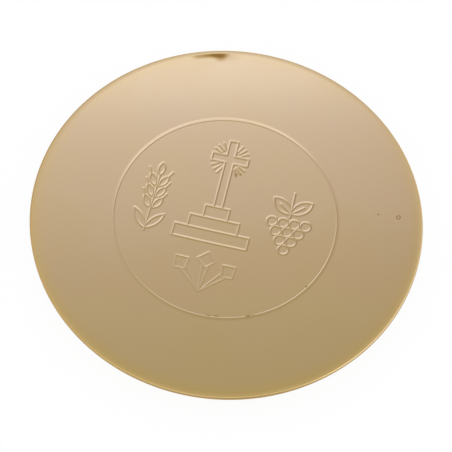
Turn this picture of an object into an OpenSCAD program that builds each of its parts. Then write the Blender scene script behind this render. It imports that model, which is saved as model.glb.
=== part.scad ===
// Paten: a round, shallow, gilded plate, dished all over, with a rounded lip and an engraved emblem.
// The plate lies face up. +Z is up, +Y is the top of the emblem, and the origin is the middle of
// the flat on the underside. Sizes are in millimetres.

/* [Plate] */
// Outside diameter, over the lip
plate_d = 140; // [125:1:160]
// Radius of the concave face
dish_r = 360; // [300:5:500]
// Thickness of the spun sheet with its gilding
sheet_t = 1; // [0.8:0.05:1.3]
// Diameter of the flat on the underside
foot_d = 26; // [16:1:32]
// Thickness of the gilding
gilt_t = 0.1; // [0.08:0.01:0.14]

/* [Rim] */
// Radius of the lip, which rounds off the edge of the face
lip_r = 0.85; // [0.7:0.05:1.2]
// Depth below the face at which the two gildings meet, on the lip
seam_d = 0.25; // [0.2:0.05:0.5]

/* [Engraved lines] */
// Width of a line
line_w = 0.9; // [0.7:0.05:1.1]
// Depth of the lines
line_d = 0.2; // [0.12:0.02:0.26]
// Diameter of the ring, at the middle of its line
ring_d = 80.6; // [76:0.2:92]
// Width of the ring's line
ring_w = 1.2; // [0.8:0.1:1.6]
// Shift of the whole emblem from the middle of the plate, along X
emblem_x = -0.5; // [-1.5:0.1:1.5]
// Shift of the whole emblem from the middle of the plate, along Y
emblem_y = -0.2; // [-1.5:0.1:1.5]

/* [Cross] */
// Middle of the upright, along X
cross_x = -3.5; // [-5:0.1:5]
// Height of the crossing
cross_y = 23.4; // [21:0.1:25]
// Width of the upright and the arms
beam_w = 3.1; // [2.4:0.1:4]
// Length of the arms, end to end
arm_span = 13.7; // [11:0.1:16]
// Height of the upright's top
cross_top = 31.1; // [28:0.1:33]
// Inner radius of the rays
ray_in = 4.4; // [3.5:0.1:5]
// Outer radius of the rays
ray_out = 7.2; // [6.5:0.1:8]
// Rays in each quarter
ray_count = 3; // [1:1:4]
// Angle between rays
ray_step = 15; // [10:1:18]

/* [Steps] */
// Number of steps under the cross
step_count = 3; // [2:1:4]
// Height of the lowest line
step_base = -11.8; // [-14:0.1:-11]
// Rise of each step
step_rise = 4.9; // [3.5:0.1:5.5]
// Width of the top step
step_w = 9; // [6:0.5:12]
// Tread of each lower step, on each side
step_tread = 4.6; // [3:0.1:5]

/* [Nails] */
// Middle nail and the common tip, along X
nail_x = -2.7; // [-4:0.1:4]
// Height of the common tip
tip_y = -31.6; // [-33:0.1:-31]
// Height of the middle head
mid_head_y = -18.9; // [-19.5:0.1:-18.5]
// Lean of the middle head
mid_head_lean = 42; // [35:1:50]
// Height of the outer heads
side_head_y = -21.8; // [-23:0.1:-21]
// Distance of the outer heads from the middle nail
side_head_x = 8.5; // [8:0.1:10]
// Width of a head at its top
head_top = 4.8; // [4:0.1:5.4]
// Width of a head at its neck side
head_foot = 3.7; // [3:0.1:4.8]
// Height of a head
head_h = 4.7; // [4:0.1:5.4]
// Distance of the shank's lines from the head's corner
neck = 1.5; // [1:0.1:2]

/* [Wheat] */
// Middle of the stalk, along X
wheat_x = -27.2; // [-29:0.1:-25]
// Foot of the stalk
wheat_y = -12.8; // [-15:0.1:-12]
// Foot of the lowest pair of grains
ear_y = -3.2; // [-6:0.1:-2]
// Pairs of grains
grain_pairs = 3; // [2:1:4]
// Distance between pairs
grain_pitch = 4.6; // [4.2:0.1:5]
// Length of a grain
grain_l = 5.2; // [4.2:0.1:5.6]
// Width of a grain
grain_w = 2.2; // [1.8:0.1:2.8]
// Lean of the grains
grain_lean = 28; // [20:1:34]
// Foot of each grain, from the middle of the stalk
grain_foot = 0.8; // [0.6:0.1:1.2]
// Length of an awn
awn_l = 2.4; // [1.5:0.1:3]
// Length of a leaf
blade_l = 9; // [7:0.1:10]
// Width of a leaf
blade_w = 2.6; // [2:0.1:3.4]
// Lean of the leaves
blade_lean = 38; // [30:1:45]

/* [Grapes] */
// Middle of the bunch, along X
grape_x = 23; // [22:0.1:25]
// Height of the top row
grape_y = 2; // [1:0.1:3]
// Grapes in the top row
grape_row = 4; // [3:1:4]
// Radius of a grape
grape_r = 1.85; // [1.6:0.05:2]
// Space between neighbouring grapes
grape_gap = 0.4; // [0.3:0.05:0.6]
// Height of the stem's lower end
stem_y = 4.8; // [4.4:0.1:6]
// Length of the stem
stem_l = 10; // [7:0.1:11]
// Height where the leaves join the stem
vine_y = 6.2; // [5.8:0.1:7.3]
// Length of a vine leaf
vine_l = 9; // [7:0.1:9.5]
// Width of a vine leaf
vine_w = 4.4; // [3.4:0.1:5]
// Lean of the vine leaves
vine_lean = 52; // [45:1:60]

/* [Hidden] */
$fn = 180;
// The dish's circle is large, so it is drawn with more sides
dish_fn = 4 * $fn;
plate_r = plate_d / 2;
// The dish's middle is set by the flat
dish_z = sqrt(pow(dish_r + sheet_t, 2) - pow(foot_d / 2, 2));
// The lip's middle lies so deep below the face that the lip breaks from it at a slight angle
lip_break = 0.05;
lip_depth = lip_r - lip_break;
lip_x = plate_r - lip_r;
lip_z = dish_z - sqrt(pow(dish_r + lip_depth, 2) - pow(lip_x, 2));
rim_z = lip_z + lip_r;
// Direction from the lip's middle to the dish's middle. The dish's circle has a corner in line with it
lip_turn = atan2(dish_z - lip_z, -lip_x);
nail_tip = [nail_x, tip_y];
step_top = step_base + step_count * step_rise;
grape_pitch = 2 * grape_r + grape_gap;
row_rise = grape_pitch * sin(60);
// A leaf's vein runs along this share of it
vein_share = 0.6;
skin_color = [0.87, 0.75, 0.54];
satin_color = [0.74, 0.62, 0.42];
core_color = [0.72, 0.57, 0.29];

// Half section of the hollow of the dish, with its wall moved outward by a depth
module hollow(depth) {
  intersection() {
    translate([0, dish_z]) rotate(lip_turn) circle(dish_r + depth, $fn = dish_fn);
    translate([0, -sheet_t]) square([plate_d, rim_z + 2 * sheet_t]);
  }
}

// Everything inside the line that runs from the dish's middle through the lip's middle
module inside_lip() {
  below = 2 * lip_z - dish_z;
  polygon([[0, dish_z], [2 * lip_x, below], [0, below]]);
}

// Half section of the plate, taken in by a layer on all sides
module section(layer) {
  intersection() {
    difference() {
      hollow(sheet_t - layer);
      hollow(layer);
    }
    union() {
      inside_lip();
      translate([lip_x, lip_z]) circle(lip_r - layer);
    }
    translate([0, layer]) square([plate_d, 2 * rim_z]);
  }
}

// Half section of the gilding, all round the plate
module gilding() {
  difference() {
    section(0);
    section(gilt_t);
  }
}

// A straight line with square ends
module stroke(a, b, width) {
  d = b - a;
  translate(a) rotate(atan2(d.y, d.x)) translate([-width / 2, -width / 2]) square([norm(d) + width, width]);
}

// A run of straight lines
module run(points, width) {
  for (i = [1 : len(points) - 1]) stroke(points[i - 1], points[i], width);
}

// A pointed oval standing on its lower tip, grown on all sides
module oval(length, width, grow) {
  bow = (length * length + width * width) / (4 * width);
  translate([0, length / 2]) intersection_for(side = [-1, 1]) {
    translate([side * (bow - width / 2), 0]) circle(bow + grow);
  }
}

module oval_line(length, width, line) {
  difference() {
    oval(length, width, line / 2);
    oval(length, width, -line / 2);
  }
}

module circle_line(radius, line) {
  difference() {
    circle(radius + line / 2);
    circle(radius - line / 2);
  }
}

// The outline of the cross runs up from the top step and back down to it
module cross(line) {
  b = beam_w / 2;
  a = arm_span / 2;
  left = [
    [-b, step_top], [-b, cross_y - b], [-a, cross_y - b], [-a, cross_y + b], [-b, cross_y + b],
    [-b, cross_top]
  ];
  translate([cross_x, 0]) {
    run(left, line);
    mirror([1, 0]) run(left, line);
    stroke([-b, cross_top], [b, cross_top], line);
  }
}

module rays(line) {
  first = 45 - ray_step * (ray_count - 1) / 2;
  translate([cross_x, cross_y]) for (quarter = [0 : 90 : 270], i = [0 : ray_count - 1]) {
    rotate(quarter + first + i * ray_step) stroke([ray_in, 0], [ray_out, 0], line);
  }
}

module steps(line) {
  translate([cross_x, 0]) {
    for (i = [0 : step_count - 1]) {
      half = step_w / 2 + i * step_tread;
      top = step_top - i * step_rise;
      foot = top - step_rise;
      run([[-half, foot], [-half, top], [half, top], [half, foot]], line);
    }
    half = step_w / 2 + (step_count - 1) * step_tread;
    stroke([-half, step_base], [half, step_base], line);
  }
}

// A nail's head has four corners, and its shank leaves the corner that is nearest to the tip
module nail(middle, lean, line) {
  turn = [[cos(lean), -sin(lean)], [sin(lean), cos(lean)]];
  shape = [
    [-head_top / 2, head_h / 2], [head_top / 2, head_h / 2],
    [head_foot / 2, -head_h / 2], [-head_foot / 2, -head_h / 2]
  ];
  head = [for (p = shape) middle + turn * p];
  far = [for (p = head) norm(p - nail_tip)];
  corner = [for (i = [0 : 3]) if (far[i] == min(far)) i][0];
  run(concat(head, [head[0]]), line);
  for (side = [1, 3]) {
    next = head[(corner + side) % 4];
    start = head[corner] + neck * (next - head[corner]) / norm(next - head[corner]);
    stroke(start, nail_tip, line);
  }
}

module grain(line) {
  oval_line(grain_l, grain_w, line);
  stroke([0, grain_l], [0, grain_l + awn_l], line);
}

module wheat(line) {
  ear_top = ear_y + grain_pairs * grain_pitch;
  translate([wheat_x, 0]) {
    stroke([0, wheat_y], [0, ear_top], line);
    translate([0, ear_top]) oval_line(grain_l, grain_w, line);
    for (side = [-1, 1]) {
      translate([0, wheat_y + line]) rotate(side * blade_lean) oval_line(blade_l, blade_w, line);
      for (i = [0 : grain_pairs - 1]) {
        translate([-side * grain_foot, ear_y + i * grain_pitch]) rotate(side * grain_lean) grain(line);
      }
    }
  }
}

module grapes(line) {
  translate([grape_x, 0]) {
    for (row = [0 : grape_row - 1], i = [0 : grape_row - row - 1]) {
      x = (i - (grape_row - row - 1) / 2) * grape_pitch;
      translate([x, grape_y - row * row_rise]) circle_line(grape_r, line);
    }
    stroke([0, stem_y], [0, stem_y + stem_l], line);
    for (side = [-1, 1]) translate([0, vine_y]) rotate(side * vine_lean) {
      oval_line(vine_l, vine_w, line);
      stroke([0, 0], [0, vine_l * vein_share], line);
    }
  }
}

// All the lines of the emblem, each grown on both sides
module emblem(grow) {
  line = line_w + 2 * grow;
  translate([emblem_x, emblem_y]) {
    circle_line(ring_d / 2, ring_w + 2 * grow);
    cross(line);
    rays(line);
    steps(line);
    nail([nail_x, mid_head_y], mid_head_lean, line);
    for (side = [-1, 1]) nail([nail_x + side * side_head_x, side_head_y], 0, line);
    wheat(line);
    grapes(line);
  }
}

// The space of the lines, grown on both sides, from above the plate down to a depth below the face
module lines(grow, depth) {
  intersection() {
    linear_extrude(height = rim_z) emblem(grow);
    rotate_extrude() hollow(depth);
  }
}

// The spun brass sheet, with the lines cut wider and deeper by the gilding that covers them
module brass_core() {
  color(core_color) difference() {
    rotate_extrude() section(gilt_t);
    lines(gilt_t, line_d + gilt_t);
  }
}

// The gilding of the face, down into the lines and over the upper part of the lip
module gilt_face() {
  color(skin_color) difference() {
    union() {
      rotate_extrude() intersection() {
        gilding();
        hollow(seam_d);
      }
      difference() {
        lines(gilt_t, line_d + gilt_t);
        rotate_extrude() hollow(gilt_t / 2);
      }
    }
    lines(0, line_d);
  }
}

// The gilding of the underside, over the flat and up the outside of the lip
module gilt_underside() {
  color(satin_color) rotate_extrude() difference() {
    gilding();
    hollow(seam_d);
  }
}

brass_core();
gilt_face();
gilt_underside();
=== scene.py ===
"""Looks of a gilded paten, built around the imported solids.

The gilding of the face is modelled anew as a fine closed skin, with the engraved lines pressed into
it, and so is the gilding of the underside. The brass sheet between them is the CAD solid.
Lengths are in millimetres until a mesh or a material is made. +X is right and +Y is the far side.
"""

import math

import bpy
import numpy as np
from mathutils import Matrix, Vector, geometry, kdtree


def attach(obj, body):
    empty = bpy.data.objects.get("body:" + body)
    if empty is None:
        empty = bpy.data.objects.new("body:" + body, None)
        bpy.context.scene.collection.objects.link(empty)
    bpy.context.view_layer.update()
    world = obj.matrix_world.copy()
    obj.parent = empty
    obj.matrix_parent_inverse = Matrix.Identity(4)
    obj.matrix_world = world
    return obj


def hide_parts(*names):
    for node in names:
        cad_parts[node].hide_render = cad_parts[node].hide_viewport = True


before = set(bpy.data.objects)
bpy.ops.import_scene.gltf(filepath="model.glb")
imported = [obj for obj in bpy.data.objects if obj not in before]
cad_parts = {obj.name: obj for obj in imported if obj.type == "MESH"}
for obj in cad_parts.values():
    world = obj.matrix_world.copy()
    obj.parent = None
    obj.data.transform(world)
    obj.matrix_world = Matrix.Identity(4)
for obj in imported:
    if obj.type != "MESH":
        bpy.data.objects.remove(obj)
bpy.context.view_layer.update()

MM = 0.001
WHOLE_TURN = 2 * math.pi
SLANT = 0.707
# Height of a triangle with even sides, for points and grapes that lie in offset rows
ROW_RISE = math.sin(math.radians(60))

# Plate, as in the part's source
PLATE_R = 70.0
DISH_R = 360.0
SHEET_T = 1.0
FOOT_R = 13.0
GILT_T = 0.1
BACK_R = DISH_R + SHEET_T
DISH_Z = math.sqrt(BACK_R ** 2 - FOOT_R ** 2)

# The face falls a little just inside the rim, and meets the rim's round at a smaller slope
RIM_FALL = 0.045
EASE_TURN = 0.06


def rim_round(radius):
    """Middle of a round along the rim, its turn about the dish's middle, and its depth."""
    depth = radius + RIM_FALL
    x = PLATE_R - radius
    far = DISH_R + depth
    return x, DISH_Z - math.sqrt(far ** 2 - x ** 2), math.asin(x / far), depth


# A tight round at the rim's top, the lip below it, and a small round from the lip to the underside
EDGE_R = 0.55
EDGE_X, EDGE_Z, EDGE_TURN, EDGE_DEPTH = rim_round(EDGE_R)
LIP_R = 0.85
LIP_X, LIP_Z, LIP_TURN, LIP_DEPTH = rim_round(LIP_R)
CORNER_R = 0.12
# Depth below the face at which the two gildings meet, and that place as a turn about the top round
SEAM_D = 0.25
SEAM_TURN = math.pi / 2 + EDGE_TURN + math.asin((EDGE_DEPTH - SEAM_D) / EDGE_R)

# Emblem. Its figures are placed from its own middle, and leans are in degrees
EMBLEM = np.array((-0.5, -0.2))
RING_R = 40.3
CROSS_X, CROSS_Y = -3.5, 23.4
CROSS_TOP, CROSS_FOOT = 31.1, 2.9
BEAM_HALF, ARM_HALF = 1.55, 6.85
RAY_IN, RAY_OUT = 4.4, 7.2
RAY_SPREAD = (-15, 0, 15)
STEP_BASE, STEP_RISE, STEP_COUNT = -11.8, 4.9, 3
STEP_W, STEP_TREAD = 9.0, 4.6
NAIL_TIP = np.array((-2.7, -31.6))
NAIL_NECK = 1.5
NAIL_HEAD = np.array([(-2.4, 2.35), (2.4, 2.35), (1.85, -2.35), (-1.85, -2.35)])
NAIL_PLACES = (((-2.7, -18.9), 42), ((-11.2, -21.8), 0), ((5.8, -21.8), 0))
WHEAT_X, WHEAT_FOOT = -27.2, -12.8
EAR_Y, GRAIN_PITCH, GRAIN_PAIRS = -3.2, 4.6, 3
GRAIN_L, GRAIN_W, GRAIN_LEAN, GRAIN_ASIDE = 5.2, 2.2, 28, 0.8
AWN_L = 2.4
BLADE_L, BLADE_W, BLADE_LEAN, BLADE_LIFT = 9.0, 2.6, 38, 0.9
GRAPE_X, GRAPE_Y, GRAPE_ROWS = 23.0, 2.0, 4
GRAPE_R, GRAPE_PITCH = 1.85, 4.1
STEM_FOOT, STEM_TOP = 4.8, 14.8
VINE_Y, VINE_L, VINE_W, VINE_LEAN = 6.2, 9.0, 4.4, 52
VEIN_L = 5.4

# Profiles of the engraved lines: half widths and depths
LINE_HALF = 0.8
LINE_DEPTH = 0.115
RING_IN = 0.45
RING_OUT = 1.3
RING_DEPTH = 0.1

# Changes of the lines' depth over the face: a gain towards the far side, a loss at the nails, and
# small waves. WAVE_X and WAVE_Y are a frequency and a phase each, and RIPPLE_XY is two frequencies
FAR_GAIN, FAR_SPAN, FAR_LIMITS = 0.25, 25, (-1, 0.4)
NAIL_LOSS, NAIL_START, NAIL_SPAN = 0.3, -12, 8
WAVE, WAVE_X, WAVE_Y = 0.1, (0.83, 1.1), (0.71, 0.4)
RIPPLE, RIPPLE_XY = 0.06, (2.3, -1.9)
# Losses of the ring's depth by direction, and of its inner width at the near side
RING_LOSS_NEAR, RING_LOSS_RIGHT, RING_LOSS_NEAR_LEFT = 0.1, 0.25, 0.35
RING_LOSS_POWER = 4
RING_NARROWING = 0.5

# Fineness of the face: samples along the lines, rows of points beside them, and a loose fill
SAMPLE = 0.04
ALONG = 0.36
ROWS = (0.0, 0.08, 0.2, 0.36, 0.54, 0.8, 1.05)
ROW_SLACK = 0.025
END_STEP = 30
RING_ROWS = (-0.8, -0.45, -0.3, -0.16, -0.06, 0.0, 0.07, 0.2, 0.42, 0.7, 1.0, 1.3, 1.7)
RING_POINTS = 540
RING_FLOOR = 0.01
FINE_R = 44.0
FILL = 1.5
# Room that the fill leaves to the outer circle, to both sides of the ring and to the lines
FILL_TO_EDGE, FILL_IN_RING, FILL_OUT_RING, FILL_TO_LINES = 0.8, 1.2, 2.1, 1.4
LEAST_GAP = 0.06
MERGE = 1e-6
# Slack for finding the points on the outer circle, as a length and as a turn
ON_CIRCLE = 1e-4
TURN_SLACK = 1e-4

# Fineness of the turned parts: spokes, and points on each part of a section
SPOKES = 240
DISH_POINTS, EASE_POINTS, EDGE_POINTS = 16, 10, 12
FLAT_RADII = (0, 2, 4, 6, 8, 10, 11.5, 12.4)
BACK_START = 13.6
BACK_POINTS, ROUND_POINTS = 24, 8


# Engraved lines as centre lines, each a list of points

def directions(t):
    return np.column_stack([np.cos(t), np.sin(t)])


def straight(a, b):
    a, b = np.array(a, float), np.array(b, float)
    n = max(2, int(np.linalg.norm(b - a) / SAMPLE) + 1)
    return a + np.linspace(0, 1, n)[:, None] * (b - a)


def run(points):
    return [straight(a, b) for a, b in zip(points, points[1:])]


def turned(line, angle, to):
    c, s = math.cos(angle), math.sin(angle)
    return line @ np.array([[c, s], [-s, c]]) + np.array(to, float)


def circle(radius, to):
    t = np.linspace(0, WHOLE_TURN, int(WHOLE_TURN * radius / SAMPLE) + 1)
    return radius * directions(t) + np.array(to, float)


def oval(length, width, angle, to):
    """The two sides of a pointed oval that stands on its lower tip."""
    bow = (length ** 2 + width ** 2) / (4 * width)
    half = math.asin(length / 2 / bow)
    t = np.linspace(-half, half, int(2 * half * bow / SAMPLE) + 1)
    right = np.column_stack([bow * np.cos(t) - (bow - width / 2), length / 2 + bow * np.sin(t)])
    return [turned(right * (side, 1), angle, to) for side in (1, -1)]


def cross_lines():
    b, a, y = BEAM_HALF, ARM_HALF, CROSS_Y
    left = [(-b, CROSS_FOOT), (-b, y - b), (-a, y - b), (-a, y + b), (-b, y + b), (-b, CROSS_TOP)]
    right = [(-u, v) for u, v in reversed(left)]
    lines = run([(CROSS_X + u, v) for u, v in left + right])
    for quarter in range(4):
        for spread in RAY_SPREAD:
            t = math.radians(quarter * 90 + 45 + spread)
            c, s = math.cos(t), math.sin(t)
            ends = [(CROSS_X + far * c, y + far * s) for far in (RAY_IN, RAY_OUT)]
            lines.append(straight(*ends))
    return lines


def step_lines():
    """The steps under the cross, from the top one down, and the line that they stand on."""
    x, lines = CROSS_X, []
    for i in range(STEP_COUNT):
        half, top = STEP_W / 2 + i * STEP_TREAD, STEP_BASE + (STEP_COUNT - i) * STEP_RISE
        foot = top - STEP_RISE
        lines += run([(x - half, foot), (x - half, top), (x + half, top), (x + half, foot)])
    return lines + [straight((x - half, STEP_BASE), (x + half, STEP_BASE))]


def nail_lines(middle, lean):
    """A four-sided head, and two lines to the tip from beside the corner nearest to it."""
    head = turned(NAIL_HEAD, math.radians(lean), middle)
    lines = run(list(head) + [head[0]])
    k = int(np.argmin(np.linalg.norm(head - NAIL_TIP, axis=1)))
    for side in (1, 3):
        way = head[(k + side) % 4] - head[k]
        lines.append(straight(head[k] + NAIL_NECK * way / np.linalg.norm(way), NAIL_TIP))
    return lines


def wheat_lines():
    x, top = WHEAT_X, EAR_Y + GRAIN_PAIRS * GRAIN_PITCH
    lines = [straight((x, WHEAT_FOOT), (x, top))] + oval(GRAIN_L, GRAIN_W, 0, (x, top))
    for side in (-1, 1):
        lean = side * math.radians(GRAIN_LEAN)
        blade_lean = side * math.radians(BLADE_LEAN)
        lines += oval(BLADE_L, BLADE_W, blade_lean, (x, WHEAT_FOOT + BLADE_LIFT))
        for i in range(GRAIN_PAIRS):
            at = (x - side * GRAIN_ASIDE, EAR_Y + i * GRAIN_PITCH)
            lines += oval(GRAIN_L, GRAIN_W, lean, at)
            lines.append(turned(straight((0, GRAIN_L), (0, GRAIN_L + AWN_L)), lean, at))
    return lines


def grape_lines():
    x = GRAPE_X
    lines = [straight((x, STEM_FOOT), (x, STEM_TOP))]
    for row in range(GRAPE_ROWS):
        count = GRAPE_ROWS - row
        for i in range(count):
            at = (x + (i - (count - 1) / 2) * GRAPE_PITCH, GRAPE_Y - row * GRAPE_PITCH * ROW_RISE)
            lines.append(circle(GRAPE_R, at))
    for side in (-1, 1):
        lean, at = side * math.radians(VINE_LEAN), (x, VINE_Y)
        lines += oval(VINE_L, VINE_W, lean, at)
        lines.append(turned(straight((0, 0), (0, VEIN_L)), lean, at))
    return lines


def emblem_lines():
    lines = cross_lines() + step_lines() + wheat_lines() + grape_lines()
    for middle, lean in NAIL_PLACES:
        lines += nail_lines(middle, lean)
    return [line + EMBLEM for line in lines]


def tree_of(lines):
    points = np.concatenate(lines)
    tree = kdtree.KDTree(len(points))
    for i, p in enumerate(points):
        tree.insert((p[0], p[1], 0), i)
    tree.balance()
    return tree


LINES = emblem_lines()
TREE = tree_of(LINES)


def nearest(points):
    """Distance of each point to the nearest emblem line, and the direction away from it."""
    away, far = np.zeros((len(points), 2)), np.zeros(len(points))
    for i, p in enumerate(points):
        q, _, d = TREE.find((p[0], p[1], 0))
        far[i] = d
        if d > SAMPLE / 2:
            away[i] = (p[0] - q[0]) / d, (p[1] - q[1]) / d
    return far, away


def hand(points):
    """Slow changes of depth along the lines, as a hand-held graver leaves them.

    The nails are the shallowest.
    """
    x, y = points[:, 0], points[:, 1]
    down = np.clip((NAIL_START - y) / NAIL_SPAN, 0, 1)
    gain = FAR_GAIN * np.clip(y / FAR_SPAN, *FAR_LIMITS)
    slow = 1 + gain - NAIL_LOSS * down ** 2 * (3 - 2 * down)
    wave_x = np.sin(WAVE_X[0] * x + WAVE_X[1])
    wave_y = np.sin(WAVE_Y[0] * y + WAVE_Y[1])
    ripple = np.sin(RIPPLE_XY[0] * x + RIPPLE_XY[1] * y)
    return slow + WAVE * wave_x * wave_y + RIPPLE * ripple


def ring_cut(way):
    """Share of the ring's depth by direction, and how far each direction points to the near side.

    The ring is cut shallower on the right, at the near side and most of all at the near left.
    """
    near = np.maximum(-way[:, 1], 0)
    right = np.maximum(way[:, 0], 0)
    near_left = np.maximum(-way @ (SLANT, SLANT), 0) ** RING_LOSS_POWER
    cut = 1 - RING_LOSS_NEAR * near - RING_LOSS_RIGHT * right - RING_LOSS_NEAR_LEFT * near_left
    return cut, near


def groove(far, half, depth):
    """Depth and slope of a groove with eased shoulders and a narrow floor."""
    u = np.clip(1 - far / half, 0, 1)
    return depth * u ** 2, 2 * depth / half * u


# Face of the plate

def beside(line, off):
    """Points at a distance from a line, on both sides of it and round its ends."""
    step = max(1, round(ALONG / SAMPLE))
    keep = np.unique(np.r_[np.arange(0, len(line), step), len(line) - 1])
    if not off:
        return [line[keep]]
    way = np.gradient(line, axis=0)
    way /= np.linalg.norm(way, axis=1)[:, None]
    aside = off * np.column_stack([-way[:, 1], way[:, 0]])[keep]
    ends = off * directions(np.radians(np.arange(0, 360, END_STEP)))
    return [line[keep] + aside, line[keep] - aside, line[0] + ends, line[-1] + ends]


def even_turns(count):
    return np.linspace(0, WHOLE_TURN, count, endpoint=False)


def face_points():
    """Points of the fine part of the face: rows beside the lines and the ring, and a loose fill."""
    rows = []
    for off in ROWS:
        part = np.concatenate([points for line in LINES for points in beside(line, off)])
        rows.append(part[np.abs(nearest(part)[0] - off) < ROW_SLACK])
    for off in RING_ROWS:
        rows.append((RING_R + off) * directions(even_turns(RING_POINTS)) + EMBLEM)
    n = int(FINE_R / FILL) + 1
    i, j = np.meshgrid(np.arange(-n, n + 1), np.arange(-n, n + 1))
    fill = FILL * np.column_stack([(i + 0.5 * (j % 2)).ravel(), (j * ROW_RISE).ravel()])
    inside = np.linalg.norm(fill, axis=1) < FINE_R - FILL_TO_EDGE
    off_ring = np.linalg.norm(fill - EMBLEM, axis=1) - RING_R
    fill = fill[inside & ((off_ring < -FILL_IN_RING) | (off_ring > FILL_OUT_RING))]
    rows.append(fill[nearest(fill)[0] > FILL_TO_LINES])
    return thin(np.concatenate(rows))


def thin(points):
    """Drops each point that is nearer than LEAST_GAP to an earlier one."""
    cells, kept = {}, []
    around = [(a, b) for a in (-1, 0, 1) for b in (-1, 0, 1)]
    for p in points:
        cx, cy = int(p[0] // LEAST_GAP), int(p[1] // LEAST_GAP)
        near = (q for a, b in around for q in cells.get((cx + a, cy + b), ()))
        if all((p[0] - q[0]) ** 2 + (p[1] - q[1]) ** 2 >= LEAST_GAP ** 2 for q in near):
            cells.setdefault((cx, cy), []).append(p)
            kept.append(p)
    return np.array(kept)


def unit(vectors):
    return vectors / np.linalg.norm(vectors, axis=1)[:, None]


def pressed(xy):
    """Points and normals of the dish at given places, with the emblem and the ring pressed in."""
    far, away = nearest(xy)
    depth, slope = groove(far, LINE_HALF, LINE_DEPTH * hand(xy))
    grad = slope[:, None] * away
    at_ring = xy - EMBLEM
    ring_r = np.linalg.norm(at_ring, axis=1)
    off = ring_r - RING_R
    cut, near = ring_cut(at_ring / np.maximum(ring_r, 1)[:, None])
    half = np.where(off > 0, RING_OUT, RING_IN * (1 - RING_NARROWING * near))
    ring_depth, ring_slope = groove(np.abs(off), half, RING_DEPTH * cut)
    ring_slope[np.abs(off) < RING_FLOOR] = 0
    grad += (ring_slope * np.sign(off) / np.maximum(ring_r, 1))[:, None] * at_ring
    drop = np.sqrt(DISH_R ** 2 - np.linalg.norm(xy, axis=1) ** 2)
    grad += xy / drop[:, None]
    points = np.column_stack([xy, DISH_Z - drop - depth - ring_depth])
    return points, unit(np.column_stack([-grad, np.ones(len(xy))]))


# Sections of the turned parts, each a row of points and a row of normals

def arc(middle, radius, start, end, count):
    """Points and outward normals of an arc. Angles start at straight down and turn outward."""
    t = np.linspace(start, end, count)
    way = np.column_stack([np.sin(t), -np.cos(t)])
    return np.array(middle) + radius * way, way


def face_section():
    """Half section of the face from FINE_R out, eased down to the rim and over it to the seam."""
    turn = EDGE_TURN - EASE_TURN
    end = EDGE_X - EDGE_R * math.sin(turn)
    drop = math.sqrt(DISH_R ** 2 - end ** 2)
    fall = DISH_Z - drop - (EDGE_Z + EDGE_R * math.cos(turn))
    bend = end / drop - math.tan(turn)
    start = end - 2 * fall / bend
    r = np.concatenate([
        np.linspace(FINE_R, start, DISH_POINTS)[:-1], np.linspace(start, end, EASE_POINTS)])
    past = np.maximum(r - start, 0) / (end - start)
    drop = np.sqrt(DISH_R ** 2 - r ** 2)
    dish = np.column_stack([r, DISH_Z - drop - fall * past ** 2])
    normals = unit(np.column_stack([bend * past - r / drop, np.ones(len(r))]))
    edge = arc((EDGE_X, EDGE_Z), EDGE_R, turn + math.pi, SEAM_TURN, EDGE_POINTS)
    return np.concatenate([dish, edge[0][1:]]), np.concatenate([normals, edge[1][1:]])


def under_section():
    """Half section of the underside from the middle out, over flat, dish and lip to the seam."""
    flat_r = np.array(FLAT_RADII)
    flat = np.column_stack([flat_r, 0 * flat_r]), np.tile((0.0, -1.0), (len(flat_r), 1))
    lip_far, corner_far = DISH_R + LIP_DEPTH, BACK_R - CORNER_R
    squares = lip_far ** 2 + corner_far ** 2 - (LIP_R - CORNER_R) ** 2
    end = LIP_TURN + math.acos(squares / (2 * lip_far * corner_far))
    x, z = corner_far * math.sin(end), DISH_Z - corner_far * math.cos(end)
    out = math.atan2(x - LIP_X, LIP_Z - z)
    dish = arc((0, DISH_Z), BACK_R, math.asin(BACK_START / BACK_R), end, BACK_POINTS)
    corner = arc((x, z), CORNER_R, end, out, ROUND_POINTS)
    lip = arc((LIP_X, LIP_Z), LIP_R, out, math.pi / 2, ROUND_POINTS)
    edge = arc((EDGE_X, EDGE_Z), EDGE_R, math.pi / 2, SEAM_TURN, ROUND_POINTS)
    after_first = [(points[1:], normals[1:]) for points, normals in (corner, lip)]
    return tuple(np.concatenate(each) for each in zip(flat, dish, *after_first, edge))


def swept(points, normals):
    """Rings of points and normals round the axis, one ring for each point of a half section."""
    t = even_turns(SPOKES)
    c, s = np.cos(t)[None], np.sin(t)[None]

    def spin(v):
        turned_parts = [v[:, :1] * c, v[:, :1] * s, np.repeat(v[:, 1:], SPOKES, 1)]
        return np.stack(turned_parts, 2).reshape(-1, 3)

    return spin(points), spin(normals)


# Meshes

def ring_faces(first, second, up):
    """Quads between two rings given by the numbers of their points."""
    quads = []
    for k in range(SPOKES):
        n = (k + 1) % SPOKES
        quad = (first[k], second[k], second[n], first[n])
        quads.append(quad if up else quad[::-1])
    return quads


def following_rings(ring, start, count, up):
    """Faces from a ring over more rings, with points numbered from start, and the last ring."""
    faces = []
    for k in range(count):
        following = list(range(start + k * SPOKES, start + (k + 1) * SPOKES))
        faces += ring_faces(ring, following, up)
        ring = following
    return faces, ring


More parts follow.
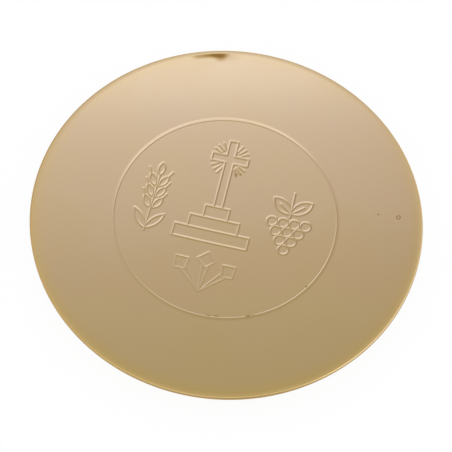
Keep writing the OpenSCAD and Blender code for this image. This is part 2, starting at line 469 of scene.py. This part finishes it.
def skin(name, points, normals, faces, rim):
    """A closed skin of GILT_T, under a shown surface with a given rim."""
    n = len(points)
    inner = points - GILT_T * normals
    both = np.concatenate([points, inner]) * MM
    polys = faces + [tuple(n + i for i in reversed(f)) for f in faces]
    for k in range(len(rim)):
        a, b = rim[k], rim[(k + 1) % len(rim)]
        polys.append((b, a, n + a, n + b))
    mesh = bpy.data.meshes.new(name)
    mesh.from_pydata([tuple(v) for v in both], [], polys)
    mesh.validate()
    mesh.polygons.foreach_set("use_smooth", [True] * len(mesh.polygons))
    both_normals = np.concatenate([normals, -normals])
    mesh.normals_split_custom_set_from_vertices([tuple(v) for v in both_normals])
    mesh.update()
    piece = bpy.data.objects.new(name, mesh)
    bpy.context.scene.collection.objects.link(piece)
    return piece


def face_skin():
    flat = np.concatenate([FINE_R * directions(even_turns(SPOKES)), face_points()])
    loop = [(k, (k + 1) % SPOKES) for k in range(SPOKES)]
    cut = geometry.delaunay_2d_cdt([Vector(p) for p in flat], loop, [], 0, MERGE)
    xy, triangles = np.array([tuple(v) for v in cut[0]]), cut[2]
    points, normals = pressed(xy)
    section, section_normals = face_section()
    outer, outer_normals = swept(section[1:], section_normals[1:])

    on_circle = np.flatnonzero(np.abs(np.linalg.norm(xy, axis=1) - FINE_R) < ON_CIRCLE)
    turns = np.arctan2(xy[on_circle, 1], xy[on_circle, 0]) % (WHOLE_TURN - TURN_SLACK)
    first = list(on_circle[np.argsort(turns)])
    faces, rim = following_rings(first, len(points), len(section) - 1, True)
    faces = [tuple(int(i) for i in f) for f in triangles] + faces
    points = np.concatenate([points, outer])
    return skin("gilding_face", points, np.concatenate([normals, outer_normals]), faces, rim)


def under_skin():
    section, section_normals = under_section()
    points, normals = swept(section[1:], section_normals[1:])
    points = np.concatenate([[(0, 0, 0)], points])
    normals = np.concatenate([[(0, 0, -1)], normals])
    first = list(range(1, SPOKES + 1))
    middle = [(0, first[(k + 1) % SPOKES], first[k]) for k in range(SPOKES)]
    faces, rim = following_rings(first, 1 + SPOKES, len(section) - 2, False)
    return skin("gilding_underside", points, normals, middle + faces, rim[::-1])


# Materials

class Nodes:
    """Makes the nodes of a material or a world and joins them up."""

    # Numbers of a mix node's sockets for colours
    MIX_A, MIX_B, MIX_RESULT = 6, 7, 2

    def __init__(self, holder):
        holder.use_nodes = True
        self.tree = holder.node_tree
        self.tree.nodes.clear()

    def make(self, kind, inputs=(), **values):
        """A node with some of its inputs set, which are named or numbered."""
        node = self.tree.nodes.new(kind)
        for key, value in values.items():
            setattr(node, key, value)
        for key, value in dict(inputs).items():
            if isinstance(value, bpy.types.NodeSocket):
                self.tree.links.new(value, node.inputs[key])
            else:
                node.inputs[key].default_value = value
        return node

    def math(self, operation, a, b=0.0, clamp=False):
        node = self.make("ShaderNodeMath", {0: a, 1: b}, operation=operation, use_clamp=clamp)
        return node.outputs[0]

    def vector_math(self, operation, a, b=(0.0, 0.0, 0.0)):
        return self.make("ShaderNodeVectorMath", {0: a, 1: b}, operation=operation).outputs["Value"]

    def noise(self, vector, scale, detail):
        inputs = {"Vector": vector, "Scale": scale, "Detail": detail}
        return self.make("ShaderNodeTexNoise", inputs).outputs["Fac"]

    def ranged(self, value, low, high, to_low=0.0, to_high=1.0, smooth=False):
        inputs = {
            "Value": value, "From Min": low, "From Max": high, "To Min": to_low, "To Max": to_high}
        kind = "SMOOTHSTEP" if smooth else "LINEAR"
        return self.make("ShaderNodeMapRange", inputs, interpolation_type=kind).outputs["Result"]

    def fading(self, value, near, far):
        """One below near, falling softly to nought at far."""
        return self.ranged(value, near, far, 1.0, 0.0, True)

    def blend(self, factor, first, second, kind="MIX"):
        inputs = {"Factor": factor, self.MIX_A: first, self.MIX_B: second}
        node = self.make("ShaderNodeMix", inputs, data_type="RGBA", blend_type=kind)
        return node.outputs[self.MIX_RESULT]

    def ramp(self, value, stops):
        node = self.make("ShaderNodeValToRGB", {0: value})
        elements = node.color_ramp.elements
        while len(elements) < len(stops):
            elements.new(0.5)
        for element, (position, colour) in zip(elements, stops):
            element.position = position
            element.color = opaque(colour)
        return node.outputs["Color"]


def opaque(colour):
    return (*colour, 1.0)


WHITE = (1.0, 1.0, 1.0, 1.0)

# Scale and detail of the cloudy tone and of the lathe's rings
CLOUD = (38.0, 4.0)
LATHE = (1400.0, 3.0)
# Part of the cloudy tone over which the light colour goes over to the deep one
PATCHES = (0.36, 0.64)
# Hairlines: turns, stretch, scale and detail of the noise, level above which it shows, and gain
HAIR_TURNS = (0.5, 1.35, 2.6)
HAIR_STRETCH = (30.0, 5200.0, 30.0)
HAIR_NOISE = (1.0, 1.0)
HAIR_LEVEL, HAIR_GAIN = 0.66, 6.0
# Pits: cells to a metre, level above which a cell has one, size in a cell, and the stain's strength
PIT_CELLS, PIT_RARE, PIT_SIZE, PIT_STAIN = 70.0, 0.86, 0.016, 0.55
# Share of a speck's half width that is at full strength
SPECK_CORE = 0.3
# Colours that a growing stain lays over the metal, and where it fades out before the rim. They
# also lay a painted dark reflection at the far rim
FILM = (
    (0.0, (1.0, 1.0, 1.0)), (0.33, (0.71, 0.63, 0.48)),
    (0.67, (0.50, 0.40, 0.23)), (1.0, (0.35, 0.24, 0.10)),
)
FILM_IN, FILM_OUT = 68.1, 68.6
# Width and power with which the rim's colour comes in, and its strength at the near and far side.
# The rim's colour is painted light, stronger at the near side
RIM_TONE, RIM_POWER = 7.0, 2.0
RIM_NEAR, RIM_FAR = 1.25, 0.45
# Wear between which the roughness grows, and what a hairline adds to it
WEAR = (0.3, 0.8)
HAIR_WEAR = 0.3
# Relief: height of the lathe's rings, depth of the hairlines, strength, and depth in metres
LATHE_HEIGHT, HAIR_DEPTH = 0.6, 0.5
BUMP_STRENGTH, BUMP_DEPTH = 0.08, 0.00002


def hairlines(nodes, place):
    hairs = None
    for turn in HAIR_TURNS:
        inputs = {"Vector": place, "Rotation": (0.0, 0.0, turn), "Scale": HAIR_STRETCH}
        stretched = nodes.make("ShaderNodeMapping", inputs).outputs["Vector"]
        streak = nodes.noise(stretched, *HAIR_NOISE)
        hair = nodes.math("MULTIPLY", nodes.math("SUBTRACT", streak, HAIR_LEVEL), HAIR_GAIN, True)
        hairs = hair if hairs is None else nodes.math("MAXIMUM", hairs, hair)
    return hairs


def tiny_pits(nodes, place):
    inputs = {"Vector": place, "Scale": PIT_CELLS}
    cells = nodes.make("ShaderNodeTexVoronoi", inputs, feature="F1")
    pick = nodes.make("ShaderNodeSeparateColor", {0: cells.outputs["Color"]}).outputs[0]
    rare = nodes.math("GREATER_THAN", pick, PIT_RARE)
    small = nodes.math("LESS_THAN", cells.outputs["Distance"], PIT_SIZE)
    return nodes.math("MULTIPLY", rare, small)


def stain_and_reflection_film(nodes, flat, turn, far, pits, specks, reflection_and_nicks):
    """Colour of the film that pits, specks, nicks and a painted reflection lay over the metal."""
    for x, y, radius, half_width in specks:
        apart = nodes.vector_math("DISTANCE", flat, (x * MM, y * MM, 0.0))
        off = nodes.math("ABSOLUTE", nodes.math("SUBTRACT", apart, radius * MM))
        speck = nodes.fading(off, SPECK_CORE * half_width * MM, half_width * MM)
        pits = nodes.math("MAXIMUM", pits, speck)
    stain_and_reflection = nodes.math("MULTIPLY", pits, PIT_STAIN)
    # Dark spots: a painted reflection at the far rim, and nicks along the ring
    for degrees, middle, half_length, half_width, strength in reflection_and_nicks:
        along = nodes.math("SUBTRACT", turn, math.radians(degrees))
        along = nodes.math("MULTIPLY", along, middle / half_length)
        across = nodes.math("DIVIDE", nodes.math("SUBTRACT", far, middle * MM), half_width * MM)
        squares = [nodes.math("MULTIPLY", way, way) for way in (along, across)]
        spot = nodes.fading(nodes.math("SQRT", nodes.math("ADD", *squares)), 0.0, 1.0)
        stain_and_reflection = nodes.math("ADD", stain_and_reflection, nodes.math("MULTIPLY", spot, strength))
    inside = nodes.fading(far, FILM_IN * MM, FILM_OUT * MM)
    return nodes.ramp(nodes.math("MULTIPLY", stain_and_reflection, inside), FILM)


def metal(name, light, deep, rim, rough_low, rough_high, specks=(), reflection_and_nicks=()):
    """Spun and polished metal, with faint rings from the lathe, fine hairlines and a few pits.

    It has soft patches of a light and a deep colour. Over the last millimetres the colour goes over
    to that of the rim, which is painted light, laid on more strongly at the near side.
    Each speck is x, y, a radius and half the width of its ring. Each dark spot, a nick or the
    painted reflection, is a turn in degrees, a distance from the middle, half a length round the
    plate, half a width and a strength.
    """
    material = bpy.data.materials.new(name)
    nodes = Nodes(material)
    place = nodes.make("ShaderNodeTexCoord").outputs["Object"]
    split = nodes.make("ShaderNodeSeparateXYZ", {0: place})
    x, y = split.outputs[0], split.outputs[1]
    flat = nodes.make("ShaderNodeCombineXYZ", {0: x, 1: y}).outputs[0]
    far = nodes.vector_math("LENGTH", flat)
    turn = nodes.math("ARCTAN2", y, x)

    cloud = nodes.noise(place, *CLOUD)
    lathe = nodes.noise(nodes.make("ShaderNodeCombineXYZ", {0: far}).outputs[0], *LATHE)
    hairs = hairlines(nodes, place)
    film = stain_and_reflection_film(nodes, flat, turn, far, tiny_pits(nodes, place), specks, reflection_and_nicks)

    tint = nodes.blend(nodes.ranged(cloud, *PATCHES, smooth=True), opaque(light), opaque(deep))
    # The rim's colour is painted light, stronger at the near side: a reflection tone on the gold,
    # shade on the underside
    outward = nodes.ranged(far, (PLATE_R - RIM_TONE) * MM, PLATE_R * MM)
    nearer = nodes.ranged(y, -PLATE_R * MM, PLATE_R * MM, RIM_NEAR, RIM_FAR)
    painted_rim_share = nodes.math("MULTIPLY", nodes.math("POWER", outward, RIM_POWER), nearer)
    colour = nodes.blend(1.0, nodes.blend(painted_rim_share, tint, opaque(rim)), film, "MULTIPLY")

    wear = nodes.math("MULTIPLY", nodes.math("ADD", cloud, lathe), 0.5)
    wear = nodes.math("ADD", wear, nodes.math("MULTIPLY", hairs, HAIR_WEAR))
    raised = nodes.math("MULTIPLY", lathe, LATHE_HEIGHT)
    relief = nodes.math("SUBTRACT", raised, nodes.math("MULTIPLY", hairs, HAIR_DEPTH))
    bump = nodes.make(
        "ShaderNodeBump", {"Strength": BUMP_STRENGTH, "Distance": BUMP_DEPTH, "Height": relief})
    shader = nodes.make("ShaderNodeBsdfPrincipled", {
        "Base Color": colour,
        "Metallic": 1.0,
        "Roughness": nodes.ranged(wear, *WEAR, rough_low, rough_high),
        "Normal": bump.outputs["Normal"],
    })
    nodes.make("ShaderNodeOutputMaterial", {"Surface": shader.outputs["BSDF"]})
    return material


def dress(piece, material):
    piece.data.materials.clear()
    piece.data.materials.append(material)


# Small marks as on the plate in the photo: two specks by the right edge, some under the cross's
# rays and one by the ring
SPECKS = (
    (60.5, 11.4, 0.65, 0.25), (53.4, 11.5, 0.0, 0.45), (-0.3, 17.7, 0.0, 0.5),
    (-0.74, 17.3, 0.0, 0.35), (1.1, 18.2, 0.0, 0.35), (33.2, -21.5, 0.0, 0.5),
)
# The mark at the far rim is a painted dark reflection; the rest are nicks along the ring
REFLECTION_AND_NICKS = (
    (105.2, 67.9, 4.8, 2.2, 1.0), (108.0, 68.0, 4.4, 1.9, 0.7), (111.4, 67.8, 5.0, 1.6, 0.5),
    (105.0, 66.4, 3.4, 2.2, 0.35), (102.0, 67.2, 6.0, 3.0, 0.12),
    (-86.4, 40.05, 1.4, 0.4, 0.4), (-82.8, 39.85, 1.5, 0.4, 0.4),
    (-67.0, 40.15, 1.4, 0.5, 0.6), (-64.6, 40.2, 1.0, 0.5, 0.3),
)
# The gold's rim colour is a painted warm reflection tone, strongest at the near side
gold = metal(
    "gold_plate", light=(0.903, 0.722, 0.504), deep=(0.897, 0.718, 0.474), rim=(0.95, 0.73, 0.35),
    rough_low=0.13, rough_high=0.2, specks=SPECKS, reflection_and_nicks=REFLECTION_AND_NICKS)
# Underside gilding: its dark brown colours and darker rim are painted shade, for the dark line
# round the lip's outside; its rougher satin finish is its own
satin_and_shade = metal(
    "gold_satin", light=(0.54, 0.37, 0.16), deep=(0.49, 0.33, 0.13), rim=(0.50, 0.34, 0.14),
    rough_low=0.28, rough_high=0.4)
brass = metal(
    "brass_sheet", light=(0.55, 0.36, 0.11), deep=(0.47, 0.29, 0.08), rim=(0.55, 0.36, 0.11),
    rough_low=0.3, rough_high=0.45)

face = face_skin()
under = under_skin()
for piece, node, material, slot in (
    (face, "gilt_face", gold, "gold_plate"), (under, "gilt_underside", satin_and_shade, "gold_satin"),
):
    dress(piece, material)
    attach(piece, "root")
    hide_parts(node)
dress(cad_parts["brass_core"], brass)


# Studio

# Half width of the floor in metres, how much it glows to the eye, and its own colour
FLOOR_HALF = 3
FLOOR_GLOW = 0.94
FLOOR_COLOUR = (0.98, 0.98, 0.98, 1.0)

# Directions in the room
RIGHT, LEFT, NEAR, UP = (1.0, 0.0, 0.0), (-1.0, 0.0, 0.0), (0.0, -1.0, 0.0), (0.0, 0.0, 1.0)
NEAR_LEFT, NEAR_RIGHT = (-SLANT, -SLANT, 0.0), (SLANT, -SLANT, 0.0)
CEILING_AXIS = (-0.342, 0.94, 0.0)
ONLOOKER = (0.35, -0.5, 0.79)
FAR_RIGHT = (0.5, 0.866, 0.0)

# How far a ray looks in a part's direction where that part begins, and where it is whole
CEILING_SPAN, WALL_SPAN = (-0.4, 1.0), (-1.0, 1.0)
RIGHT_SPAN, RIGHT_LOW_SPAN = (0.12, 0.5), (0.72, 0.88)
LEFT_SPAN, LEFT_LOW_SPAN = (0.12, 0.45), (0.62, 0.86)
NEAR_LOW_SPAN, ONLOOKER_SPAN = (0.74, 0.92), (0.93, 0.985)
HORIZON_SPAN, UP_SPAN = (-0.1, 0.6), (0.05, 0.4)

# Colours along the ceiling from the near to the far side, and along each side wall from far to
# near
CEILING = (
    (0.07, (0.50, 0.46, 0.40)), (0.32, (0.70, 0.67, 0.63)), (0.43, (0.93, 0.90, 0.96)),
    (0.493, (1.00, 1.00, 1.00)), (0.521, (0.695, 0.65, 0.68)), (0.564, (0.63, 0.58, 0.56)),
    (0.607, (0.59, 0.54, 0.485)), (0.643, (0.515, 0.46, 0.38)), (0.714, (0.437, 0.40, 0.257)),
    (0.857, (0.37, 0.32, 0.20)), (0.90, (0.75, 0.70, 0.60)), (0.95, (0.90, 0.86, 0.80)),
)
RIGHT_WALL = (
    (0.22, (0.62, 0.55, 0.42)), (0.42, (1.10, 1.12, 1.30)),
    (0.62, (1.06, 1.09, 1.25)), (0.78, (0.42, 0.37, 0.27)),
)
LEFT_WALL = (
    (0.32, (0.38, 0.30, 0.24)), (0.50, (0.50, 0.43, 0.30)), (0.70, (0.58, 0.51, 0.34)),
)
# Colours of the walls' lower parts, of the one who looks on, and along the horizon
RIGHT_LOW = (0.50, 0.44, 0.33, 1.0)
LEFT_LOW = (0.82, 0.75, 0.60, 1.0)
NEAR_LOW = (0.82, 0.77, 0.66, 1.0)
ONLOOKER_COLOUR = (0.30, 0.25, 0.16, 1.0)
HORIZON_DIM, HORIZON_LIGHT = (0.30, 0.25, 0.15, 1.0), (0.88, 0.84, 0.76, 1.0)

# Camera, solved from the photo. CLIP is in metres and CAMERA_ROLL in degrees
LENS = 72.022
SENSOR = 36.0
CLIP = 0.01
CAMERA_AT = (23.815, -151.005, 291.926)
CAMERA_AIM = (1.074, -7.151, 7.019)
CAMERA_ROLL = 4.2101


def seen_by_eye_or_mirror(nodes):
    """One for rays from the camera, metal or glass, and nought for those that light the object."""
    path = nodes.make("ShaderNodeLightPath")
    seen = path.outputs["Is Camera Ray"]
    for name in ("Is Glossy Ray", "Is Transmission Ray"):
        seen = nodes.math("MAXIMUM", seen, path.outputs[name])
    return seen


def floor():
    """A white ground, of the background's tone but for a faint shadow."""
    material = bpy.data.materials.new("studio_floor")
    nodes = Nodes(material)
    share = nodes.math("MULTIPLY", seen_by_eye_or_mirror(nodes), FLOOR_GLOW)
    matte = nodes.make("ShaderNodeBsdfDiffuse", {"Color": FLOOR_COLOUR})
    bright = nodes.make("ShaderNodeEmission", {"Color": WHITE})
    mix = nodes.make("ShaderNodeMixShader", {0: share, 1: matte.outputs[0], 2: bright.outputs[0]})
    nodes.make("ShaderNodeOutputMaterial", {"Surface": mix.outputs[0]})
    mesh = bpy.data.meshes.new("floor")
    h = FLOOR_HALF
    mesh.from_pydata([(-h, -h, 0), (h, -h, 0), (h, h, 0), (-h, h, 0)], [], [(0, 1, 2, 3)])
    plane = bpy.data.objects.new("floor", mesh)
    bpy.context.scene.collection.objects.link(plane)
    dress(plane, material)


def room():
    """White to the camera. To the metal, a bright ceiling that dims to one side, and warm walls.

    The right wall is dimmer low down, and the left wall and the near side are lighter there.
    """
    world = bpy.data.worlds.new("studio")
    bpy.context.scene.world = world
    nodes = Nodes(world)
    way = nodes.make("ShaderNodeTexCoord").outputs["Generated"]

    def toward(direction, span, smooth=True):
        """How far a ray looks in a direction, from nought to one over a span."""
        dot = nodes.vector_math("DOT_PRODUCT", way, direction)
        return nodes.ranged(dot, *span, smooth=smooth)

    ceiling = nodes.ramp(toward(CEILING_AXIS, CEILING_SPAN, False), CEILING)
    right = nodes.ramp(toward(NEAR, WALL_SPAN, False), RIGHT_WALL)
    right = nodes.blend(toward(RIGHT, RIGHT_LOW_SPAN), right, RIGHT_LOW)
    left = nodes.ramp(toward(NEAR, WALL_SPAN, False), LEFT_WALL)
    left = nodes.blend(toward(LEFT, LEFT_LOW_SPAN), left, LEFT_LOW)
    seen = nodes.blend(toward(RIGHT, RIGHT_SPAN), ceiling, right)
    seen = nodes.blend(toward(LEFT, LEFT_SPAN), seen, left)
    for side in (NEAR, NEAR_LEFT, NEAR_RIGHT):
        seen = nodes.blend(toward(side, NEAR_LOW_SPAN), seen, NEAR_LOW)
    seen = nodes.blend(toward(ONLOOKER, ONLOOKER_SPAN), seen, ONLOOKER_COLOUR)
    horizon = nodes.blend(toward(FAR_RIGHT, HORIZON_SPAN), HORIZON_DIM, HORIZON_LIGHT)
    seen = nodes.blend(toward(UP, UP_SPAN), horizon, seen)

    plain = nodes.make("ShaderNodeBackground", {"Color": WHITE})
    mirrored = nodes.make("ShaderNodeBackground", {"Color": seen})
    by_metal = nodes.make("ShaderNodeLightPath").outputs["Is Glossy Ray"]
    inputs = {0: by_metal, 1: plain.outputs[0], 2: mirrored.outputs[0]}
    mix = nodes.make("ShaderNodeMixShader", inputs)
    nodes.make("ShaderNodeOutputWorld", {"Surface": mix.outputs[0]})


def camera():
    data = bpy.data.cameras.new("camera")
    data.sensor_width = SENSOR
    data.lens = LENS
    data.clip_start = CLIP
    item = bpy.data.objects.new("camera", data)
    at, aim = Vector(CAMERA_AT) * MM, Vector(CAMERA_AIM) * MM
    look = (aim - at).to_track_quat("-Z", "Y").to_matrix().to_4x4()
    roll = Matrix.Rotation(math.radians(CAMERA_ROLL), 4, "Z")
    item.matrix_world = Matrix.Translation(at) @ look @ roll
    bpy.context.scene.collection.objects.link(item)
    bpy.context.scene.camera = item


floor()
room()
camera()
bpy.context.scene.view_settings.view_transform = "Standard"
